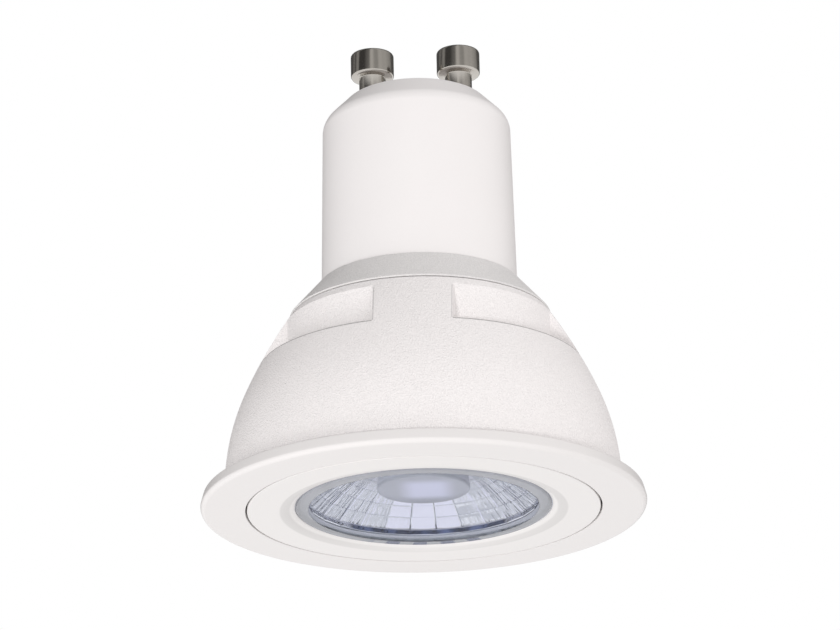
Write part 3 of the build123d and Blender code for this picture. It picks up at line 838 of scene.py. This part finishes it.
class LAMP_OT_bell_housing(Operator):
    """Models the bell with its four recesses"""

    bl_idname = "lamp.bell_housing"
    bl_label = "Bell housing"

    def execute(self, context):
        s = context.scene.lamp_bell
        tones = context.scene.lamp_colours
        seam_top = s.foot_height + s.seam
        foot_edge = (s.foot_radius, seam_top)
        top_edge = (s.top_radius, s.top_height)
        straight = (s.foot_radius, s.straight_height)
        waist = (s.waist_radius, s.waist_height)
        lower, heading = tangent_arc(straight, (0, 1), waist, BELL_ARC_STEPS)
        upper, _ = tangent_arc(waist, heading, top_edge, BELL_ARC_STEPS)
        shelf = reach("heat_sink") - s.wall
        outline = [
            foot_edge,
            straight,
            *lower,
            *upper[:-1],
            top_edge,
            (s.collar_bore, s.top_height),
            (s.collar_bore, foot("base_housing")),
            (s.recess_radius - s.wall, foot("base_housing") - s.wall),
            (s.recess_radius - s.wall, s.ledge_height - s.wall),
            (shelf, s.ledge_height - 2 * s.wall),
            (shelf, foot("insulating_cup")),
            (s.foot_radius - s.wall, s.bend_height),
            (s.foot_radius - s.wall, s.foot_height),
            (s.foot_radius - s.seam_depth, s.foot_height),
            (s.foot_radius - s.seam_depth, seam_top),
        ]
        piece = turned("bell_shell", outline)
        round_rings(piece, [foot_edge], s.seam / 2, 2)
        for quarter in range(4):
            cut_recess(piece, s, quarter * QUARTER_TURN)
        bpy.ops.object.mode_set(mode="EDIT")
        close_mesh()
        round_recesses(piece, s)
        finish = grained_paint(
            "bell_paint",
            tones.bell,
            roughness=0.5,
            grain=0.18 * MM,
            relief=0.11 * MM,
            speckle=0.2,
            recesses=(s.ledge_height, s.recess_radius, s.bridge_width / 2),
        )
        dress(piece, finish, "bell_housing")
        return {"FINISHED"}


def cut_recess(piece, s, heading):
    """Cuts one recess: the quarter ring above the ledge, outside the inner wall, between two bridges."""
    inside = s.recess_radius
    outside = 1.3 * s.foot_radius
    above = s.top_height + s.wall
    half = s.bridge_width / 2
    outline = [(inside, s.ledge_height), (outside, s.ledge_height), (outside, above), (inside, above)]
    cutter = turned("recess_cutter", outline)
    for corner, way in (((half, 0, 0), (1, 0, 0)), ((0, half, 0), (0, 1, 0))):
        bpy.ops.mesh.select_all(action="SELECT")
        bpy.ops.mesh.bisect(plane_co=corner, plane_no=way, use_fill=True, clear_inner=True)
    bpy.ops.mesh.select_all(action="SELECT")
    bpy.ops.mesh.normals_make_consistent(inside=False)
    bpy.ops.object.mode_set(mode="OBJECT")
    cutter.rotation_euler = (0, 0, heading)
    bpy.ops.object.transform_apply(location=True, rotation=True, scale=True)
    deselect_all()
    bpy.context.view_layer.objects.active = piece
    piece.select_set(True)
    bpy.ops.object.modifier_add(type="BOOLEAN")
    cut = piece.modifiers[-1]
    cut.operation = "DIFFERENCE"
    cut.object = cutter
    cut.solver = "EXACT"
    bpy.ops.object.modifier_apply(modifier=cut.name)
    bpy.data.objects.remove(cutter)


def round_recesses(piece, s):
    """Rounds the sharp edges of the recesses."""
    mesh = bmesh.from_edit_mesh(piece.data)
    bpy.ops.mesh.select_mode(type="EDGE")
    for edge in mesh.edges:
        middle = (edge.verts[0].co + edge.verts[1].co) / 2
        outer = math.hypot(middle.x, middle.y) > s.recess_radius - MERGE
        high = middle.z > s.ledge_height - MERGE
        bent = edge.is_manifold and edge.calc_face_angle(0) > SHARP_ANGLE
        edge.select_set(bool(outer and high and bent and edge.is_convex))
    mesh.select_flush_mode()
    bmesh.update_edit_mesh(piece.data)
    bpy.ops.mesh.bevel(offset=s.recess_round, segments=4, affect="EDGES", clamp_overlap=True)
    bpy.ops.mesh.select_all(action="DESELECT")


class LAMP_OT_front_rings(Operator):
    """Models the flange and the bezel inside it"""

    bl_idname = "lamp.front_rings"
    bl_label = "Flange and bezel"

    def execute(self, context):
        s = context.scene.lamp_front
        tones = context.scene.lamp_colours
        self.model_flange(s, tones)
        self.model_bezel(s, tones, context.scene.lamp_bowl)
        return {"FINISHED"}

    def model_flange(self, s, tones):
        """The flat flange with its rounded rim and the sleeve behind it."""
        face_edge = (s.flange_radius - s.rim_round, 0.0)
        rim, _ = tangent_arc(face_edge, (1, 0), (s.flange_radius, s.rim_round), ARC_STEPS)
        seam_edge = (s.seam_radius, 0.0)
        back_edge = (s.flange_back_radius, s.flange_thickness)
        outline = [
            seam_edge,
            face_edge,
            *rim,
            back_edge,
            (s.sleeve_radius, s.flange_thickness),
            (s.sleeve_radius, top("trim_ring")),
            (s.seam_radius, top("trim_ring")),
        ]
        piece = turned("flange_ring", outline)
        round_rings(piece, [seam_edge], s.clearance / 2, 2)
        round_rings(piece, [back_edge], s.clearance, 3)
        finish = moulded_plastic("flange_satin", tones.flange, 0.4, grain=0.2 * MM, relief=0.0015 * MM)
        dress(piece, finish, "trim_ring")

    def model_bezel(self, s, tones, bowl):
        """The ring inside the seam, with its sloped opening."""
        edge = (s.seam_radius - s.seam_gap, 0.0)
        slope_edge = (s.slope_radius, 0.0)
        mouth = (s.lens_radius + s.clearance, s.slope_height)
        lens_back = top("cover_lens")
        seat = lens_back - s.lens_flange
        pilot = reach("cover_lens") + s.clearance
        behind = foot("reflector") + bowl.flange
        slope, _ = tangent_arc(slope_edge, (-1, 0), mouth, ARC_STEPS)
        outline = [
            *slope[::-1],
            slope_edge,
            edge,
            (edge[0], top("bezel_ring")),
            (edge[0] - s.bezel_wall, top("bezel_ring")),
            (edge[0] - s.bezel_wall, s.bezel_wall),
            (pilot + s.bezel_wall, s.bezel_wall),
            (pilot + s.bezel_wall, behind),
            (pilot, behind),
            (pilot, seat),
            (mouth[0], seat),
        ]
        piece = turned("bezel", outline)
        round_rings(piece, [edge], s.clearance, 3)
        round_rings(piece, [mouth], s.clearance / 2, 2)
        cove = (mouth[0], s.slope_radius)
        grain, relief = 0.2 * MM, 0.0015 * MM
        finish = moulded_plastic("bezel_satin", tones.bezel, 0.36, grain, relief, cove)
        dress(piece, finish, "bezel_ring")


class LAMP_OT_cover_lens(Operator):
    """Models the clear disc with its bevelled edge"""

    bl_idname = "lamp.cover_lens"
    bl_label = "Cover lens"

    def execute(self, context):
        s = context.scene.lamp_front
        front = foot("cover_lens")
        back = top("cover_lens")
        bevel_edge = (s.lens_radius - s.lens_bevel, front)
        rim = (s.lens_radius, front + s.lens_bevel)
        outline = [
            (0.0, front),
            bevel_edge,
            rim,
            (s.lens_radius, back - s.lens_flange),
            (reach("cover_lens"), back - s.lens_flange),
            (reach("cover_lens"), back),
            (0.0, back),
        ]
        piece = turned("lens_disc", outline)
        round_rings(piece, [bevel_edge, rim], s.clearance / 2, 2)
        ring = s.lens_radius - s.frosted_width
        facets = context.scene.lamp_bowl.facets
        finish = clear_lens("lens_clear", ring, ring + s.clearance, front, facets)
        dress(piece, finish, "cover_lens")
        return {"FINISHED"}


class LAMP_OT_reflector(Operator):
    """Models the bowl: rows of facets, each crowned in two steps"""

    bl_idname = "lamp.reflector"
    bl_label = "Reflector"

    def execute(self, context):
        s = context.scene.lamp_bowl
        tones = context.scene.lamp_colours
        row = (s.rim_radius - s.neck_radius) / s.rows
        radii = [s.neck_radius + row * step for step in range(s.rows + 1)]
        bowl = [(radius, bowl_height(s, radius)) for radius in radii]
        face = foot("reflector")
        back = face + s.flange
        outer = [(radius + s.wall, max(height, back)) for radius, height in bowl[::-1]]
        edge = reach("reflector")
        outline = [*bowl, (s.rim_radius, face), (edge, face), (edge, back), *outer]
        piece = turned("reflector_bowl", outline, s.facets, s.turn)
        bpy.ops.mesh.select_all(action="SELECT")
        bpy.ops.mesh.mark_sharp()
        limit = s.rim_radius

        def facet(middle, normal):
            distance = math.hypot(middle.x, middle.y)
            inward = middle.x * normal.x + middle.y * normal.y < 0
            return inward and distance < limit and normal.z < MERGE

        bpy.ops.mesh.select_mode(type="FACE")
        select_faces(piece, facet)
        bpy.ops.mesh.inset(thickness=s.crown_inset, depth=s.crown_height, use_individual=True)
        bpy.ops.mesh.inset(thickness=3 * s.crown_inset, depth=s.crown_height / 3, use_individual=True)
        finish = mirror_coat("mirror_coat", tones.mirror, tones.lip, face, s.lip)
        dress(piece, finish, "reflector")
        return {"FINISHED"}


def bowl_height(s, radius):
    """Height of the parabola at a radius."""
    share = (s.rim_radius**2 - radius**2) / (s.rim_radius**2 - s.neck_radius**2)
    return foot("reflector") + s.lip + s.depth * share


class LAMP_OT_primary_lens(Operator):
    """Models the optic over the emitter, with its satin end"""

    bl_idname = "lamp.primary_lens"
    bl_label = "Primary lens"

    def execute(self, context):
        s = context.scene.lamp_bowl
        tones = context.scene.lamp_colours
        end = foot("primary_lens")
        back = top("primary_lens")
        radius = reach("primary_lens")
        edge = (radius, end)
        outline = [(0.0, end), edge, (radius, end + s.optic_land), (s.optic_foot, back), (0.0, back)]
        piece = turned("optic_block", outline)
        round_rings(piece, [edge], s.optic_round, 4)
        finish = satin_optic("optic_satin", tones.optic, tones.glow, end)
        dress(piece, finish, "primary_lens")
        return {"FINISHED"}


class LAMP_OT_emitter(Operator):
    """Models the emitter's low dome"""

    bl_idname = "lamp.emitter"
    bl_label = "Emitter"

    def execute(self, context):
        tones = context.scene.lamp_colours
        front = foot("led_emitter")
        back = top("led_emitter")
        radius = reach("led_emitter")
        flat = (0.6 * radius, front)
        shoulder = (0.95 * radius, front + 0.1 * MM)
        brim = (radius, (front + back) / 2)
        outline = [(0.0, front), flat, shoulder, brim, (radius, back), (0.0, back)]
        piece = turned("emitter_patch", outline)
        dress(piece, phosphor("phosphor", tones.glow), "led_emitter")
        return {"FINISHED"}


class LAMP_OT_inner_finishes(Operator):
    """Gives the pieces inside the lamp their finishes"""

    bl_idname = "lamp.inner_finishes"
    bl_label = "Inner finishes"

    def execute(self, context):
        black = (0.02, 0.02, 0.022)
        epoxy = moulded_plastic("chip_epoxy", black, 0.55, 0.08 * MM, 0.006 * MM)
        finishes = {
            "lens_gasket": soft_rubber("gasket_rubber", (0.74, 0.77, 0.82)),
            "led_board": machined_metal("led_substrate", (0.82, 0.83, 0.84), 0.3),
            "thermal_pad": soft_rubber("thermal_grease", (0.42, 0.45, 0.48)),
            "led_holder": moulded_plastic("holder_plastic", (0.80, 0.80, 0.80), 0.5),
            "holder_screws": plated_metal("screw_zinc", (0.62, 0.62, 0.63), 0.28),
            "heat_sink": machined_metal("sink_aluminium", (0.74, 0.75, 0.76)),
            "insulating_cup": moulded_plastic("cup_plastic", (0.72, 0.71, 0.68), 0.5),
            "driver_board": laminate("board_laminate", (0.02, 0.11, 0.05)),
            "electrolytic_capacitor": moulded_plastic("capacitor_sleeve", (0.015, 0.02, 0.03), 0.3),
            "film_capacitor": moulded_plastic("film_case", (0.55, 0.30, 0.04), 0.35),
            "transformer_core": sintered("ferrite", (0.03, 0.03, 0.033)),
            "transformer_winding": wound_tape("winding_tape", (0.68, 0.45, 0.04)),
            "bridge_rectifier": epoxy,
            "driver_chip": epoxy,
            "fusible_resistor": moulded_plastic("resistor_lacquer", (0.28, 0.40, 0.48), 0.4),
            "input_wire_left": moulded_plastic("wire_blue", (0.02, 0.05, 0.28), 0.4),
            "input_wire_right": moulded_plastic("wire_brown", (0.10, 0.035, 0.015), 0.4),
            "output_wire_left": moulded_plastic("wire_black", (0.012, 0.012, 0.012), 0.4),
            "output_wire_right": moulded_plastic("wire_red", (0.42, 0.015, 0.012), 0.4),
        }
        for node, finish in finishes.items():
            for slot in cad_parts[node].material_slots:
                slot.material = finish
        return {"FINISHED"}


class StudioSettings(PropertyGroup):
    camera_place: position(
        "Camera place", (21.45 * MM, -442.15 * MM, -136.55 * MM), "Where the camera stands"
    )
    camera_pitch: angle("Pitch", 0.3466127, "How far the camera looks up")
    camera_heading: angle("Heading", 0.0485, "How far the camera turns left")
    camera_roll: angle("Roll", -0.0197651, "How far the camera leans")
    focal_pixels: FloatProperty(name="Focal length", description="Focal length in pixels", default=4133.05)
    image_width: IntProperty(name="Image width", description="Width of the image in pixels", default=840)
    sensor: length("Sensor", 36.0 * MM, "Width of the camera's sensor")
    floor_size: length("Floor size", 4.0, "Width of the floor")
    floor_drop: length("Floor drop", 0.3 * MM, "Gap between the lamp's front face and the floor")
    floor_tone: colour("Floor", (0.86, 0.86, 0.86), "Plain pale floor")
    light_below: colour("Light below", (0.845, 0.83, 0.825), "Even light from below")
    light_above: colour("Light above", (1.0, 0.985, 0.98), "Even light from above and the right")
    shade_above: colour("Shade above", (0.0, 0.0, 0.0), "Even light from above and the left")
    above_strength: FloatProperty(name="Above", description="Strength of the light above", default=1.3)
    light_passed: colour("Light in the bowl", (0.90, 0.89, 0.97), "Light that the bowl's middle mirrors")
    light_sides: colour("Light at the sides", (0.60, 0.61, 0.64), "Light that the sides of the bowl mirror")
    key_place: position("Key place", (-0.147, -0.833, -0.285), "Where the main lamp hangs")
    key_size: length("Key size", 0.11, "Width of the main lamp")
    key_power: power("Key lamp", 2.45, "Power of the main lamp")
    left_place: position("Left place", (-0.77, -0.28, -0.55), "Where the lamp at the left hangs")
    left_size: length("Left size", 0.5, "Width of the lamp at the left")
    left_power: power("Left lamp", 1.9, "Power of the lamp at the left")


class LAMP_OT_studio(Operator):
    """Sets up the floor, the even light, the lamps and the camera"""

    bl_idname = "lamp.studio"
    bl_label = "Studio"

    def execute(self, context):
        s = context.scene.lamp_studio
        context.scene.view_settings.view_transform = "Standard"
        self.lay_floor(s)
        self.light_room(context.scene, s)
        self.hang_lamp("key_lamp", s.key_power, s.key_place, s.key_size)
        self.hang_lamp("left_lamp", s.left_power, s.left_place, s.left_size)
        self.set_camera(context.scene, s)
        return {"FINISHED"}

    def lay_floor(self, s):
        """A pale floor that hides nothing from a camera below it."""
        deselect_all()
        bpy.ops.mesh.primitive_plane_add(size=s.floor_size, location=(0, 0, -s.floor_drop))
        floor = bpy.context.object
        floor.name = "floor"
        shades = new_finish("floor_matt")
        seen = shades.node("ShaderNodeLightPath", output="Is Camera Ray")
        below = shades.node("ShaderNodeNewGeometry", output="Backfacing")
        matt = shades.node("ShaderNodeBsdfDiffuse", None, {"Color": rgba(s.floor_tone)})
        clear = shades.node("ShaderNodeBsdfTransparent")
        blend = shades.node("ShaderNodeMixShader", None, {0: seen * (1 - below), 1: clear, 2: matt})
        floor.data.materials.append(shades.surface(blend))

    def light_room(self, scene, s):
        """A room that is white where it is seen. The object gets even light from below, and light
        from above that falls off to the left. The pins mirror the walls, and the bowl a pale room
        whose sides are slatted."""
        world = bpy.data.worlds.new("studio_room")
        scene.world = world
        shades = Shades(world)
        direction = shades.node("ShaderNodeTexCoord", output="Generated")
        x, y, z = shades.axes(direction)
        camera = shades.node("ShaderNodeLightPath", output="Is Camera Ray")
        glossy = shades.node("ShaderNodeLightPath", output="Is Glossy Ray")
        passed = shades.node("ShaderNodeLightPath", output="Is Transmission Ray")
        heading = x.math("ARCTAN2", x, 0 - y) / (2 * math.pi) + 0.5
        stops = [(place, rgba([grey * part for part in WALL_WARMTH])) for place, grey in WALL_GREYS]
        walls = shades.node("ShaderNodeValToRGB", {"stops": stops}, {0: heading})
        mirrored = shades.mix(z.between(0.02, 0.12), WHITE, walls)
        bright = rgba([tone * s.above_strength for tone in s.light_above])
        above = shades.mix(x.between(-0.7, 0.7), rgba(s.shade_above), bright)
        plain = shades.mix(z.between(-0.3, 0.9), rgba(s.light_below), above)
        slat_pitch = 0.11
        slats = (x * 0.75 + y * 0.35).wave(slat_pitch).between(0.5, 0.75) * abs(x).between(0.3, 0.4)
        side = shades.mix(slats, rgba(s.light_sides), WHITE)
        through = shades.mix(abs(x).between(0.24, 0.42), rgba(s.light_passed), side)
        unseen = shades.mix(passed, shades.mix(glossy, plain, mirrored), through)
        seen = shades.mix(camera, unseen, WHITE)
        sky = shades.node("ShaderNodeBackground", None, {"Color": seen, "Strength": 1.0})
        shades.node("ShaderNodeOutputWorld", None, {"Surface": sky})

    def hang_lamp(self, name, watts, place, size):
        """A square soft lamp that faces the top of the bell."""
        deselect_all()
        bpy.ops.object.light_add(type="AREA", location=place)
        lamp = bpy.context.object
        lamp.name = name
        lamp.data.shape = "SQUARE"
        lamp.data.size = size
        lamp.data.energy = watts
        lamp.visible_glossy = False
        lamp.visible_transmission = False
        target = Vector((0, 0, top("bell_housing")))
        lamp.rotation_euler = (target - Vector(place)).to_track_quat("-Z", "Y").to_euler()

    def set_camera(self, scene, s):
        """The camera, below the lamp's face and looking up at it."""
        deselect_all()
        bpy.ops.object.camera_add(location=s.camera_place)
        camera = bpy.context.object
        turn = Matrix.Rotation(s.camera_heading, 3, "Z")
        tilt = Matrix.Rotation(QUARTER_TURN + s.camera_pitch, 3, "X")
        lean = Matrix.Rotation(s.camera_roll, 3, "Z")
        camera.rotation_euler = (turn @ tilt @ lean).to_euler()
        camera.data.sensor_width = s.sensor / MM
        camera.data.lens = s.focal_pixels * camera.data.sensor_width / s.image_width
        camera.data.clip_start = 10 * MM
        scene.camera = camera


class LAMP_PT_sidebar(Panel):
    """Lists the steps that make the lamp"""

    bl_idname = "LAMP_PT_sidebar"
    bl_label = "Lamp"
    bl_space_type = "VIEW_3D"
    bl_region_type = "UI"
    bl_category = "Lamp"

    def draw(self, context):
        for step in STEPS:
            self.layout.operator(step.bl_idname)


STEPS = (
    LAMP_OT_studio,
    LAMP_OT_base_housing,
    LAMP_OT_contact_pins,
    LAMP_OT_neck_collar,
    LAMP_OT_bell_housing,
    LAMP_OT_front_rings,
    LAMP_OT_cover_lens,
    LAMP_OT_reflector,
    LAMP_OT_primary_lens,
    LAMP_OT_emitter,
    LAMP_OT_inner_finishes,
)
SETTINGS = {
    "lamp_base": BaseSizes,
    "lamp_pins": PinSizes,
    "lamp_bell": BellSizes,
    "lamp_front": FrontSizes,
    "lamp_bowl": BowlSizes,
    "lamp_colours": LampColours,
    "lamp_studio": StudioSettings,
}


def register():
    for settings in SETTINGS.values():
        bpy.utils.register_class(settings)
    for step in STEPS:
        bpy.utils.register_class(step)
    bpy.utils.register_class(LAMP_PT_sidebar)
    for name, settings in SETTINGS.items():
        setattr(bpy.types.Scene, name, PointerProperty(type=settings))


def unregister():
    for name in SETTINGS:
        delattr(bpy.types.Scene, name)
    bpy.utils.unregister_class(LAMP_PT_sidebar)
    for step in reversed(STEPS):
        bpy.utils.unregister_class(step)
    for settings in reversed(list(SETTINGS.values())):
        bpy.utils.unregister_class(settings)


def main():
    """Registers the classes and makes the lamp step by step."""
    register()
    bpy.ops.lamp.studio()
    bpy.ops.lamp.base_housing()
    bpy.ops.lamp.contact_pins()
    bpy.ops.lamp.neck_collar()
    bpy.ops.lamp.bell_housing()
    bpy.ops.lamp.front_rings()
    bpy.ops.lamp.cover_lens()
    bpy.ops.lamp.reflector()
    bpy.ops.lamp.primary_lens()
    bpy.ops.lamp.emitter()
    bpy.ops.lamp.inner_finishes()


if __name__ == "__main__":
    main()
